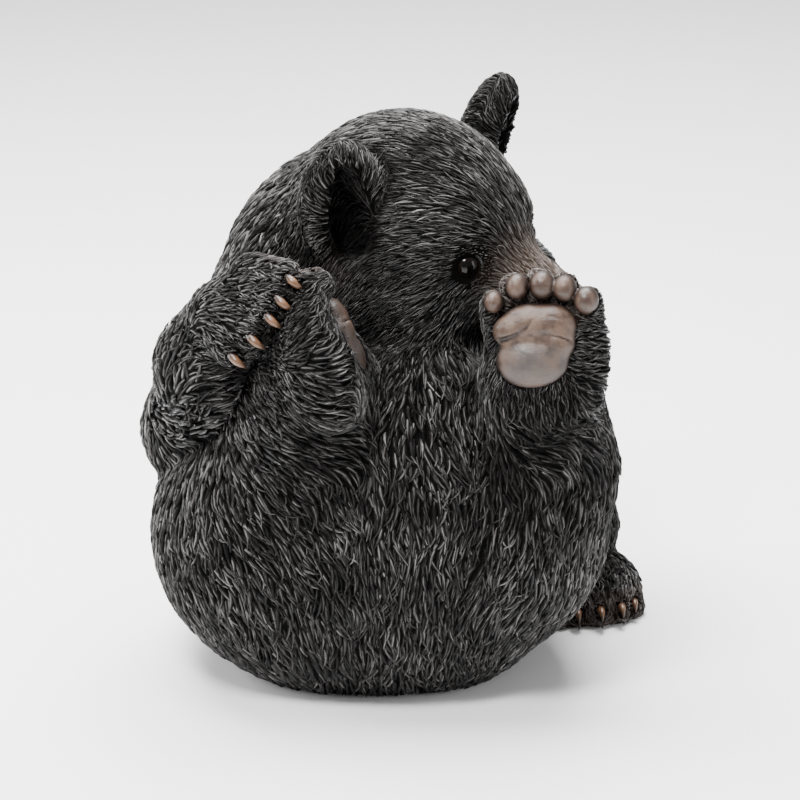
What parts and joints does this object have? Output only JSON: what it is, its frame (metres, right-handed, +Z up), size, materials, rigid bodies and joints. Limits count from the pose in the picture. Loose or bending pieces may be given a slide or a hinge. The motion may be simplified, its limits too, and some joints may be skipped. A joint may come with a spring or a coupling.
{
  "type": "garden statue",
  "caption": "Seated bear cub garden statue that leans back, holds its raised hind foot in one paw and rests on its rump and the other paw.",
  "frame": {"origin": "on the flat base under the rump, in the plane that the statue stands on", "axes": "+Z up, -Y towards the side that the belly and the raised soles face, +X towards the figure's left, where the head looks"},
  "size_m": [0.2533, 0.2246, 0.2852],
  "materials": {
    "painted_resin": "cast resin with carved fur, painted satin black with grey dry-brushed locks and taupe pads",
    "eye_glass": "polished dark brown glass with a black pupil"
  },
  "bodies": {
    "root": {"bear_cub": "painted_resin", "right_eye": "eye_glass", "left_eye": "eye_glass"}
  },
  "joints": []
}
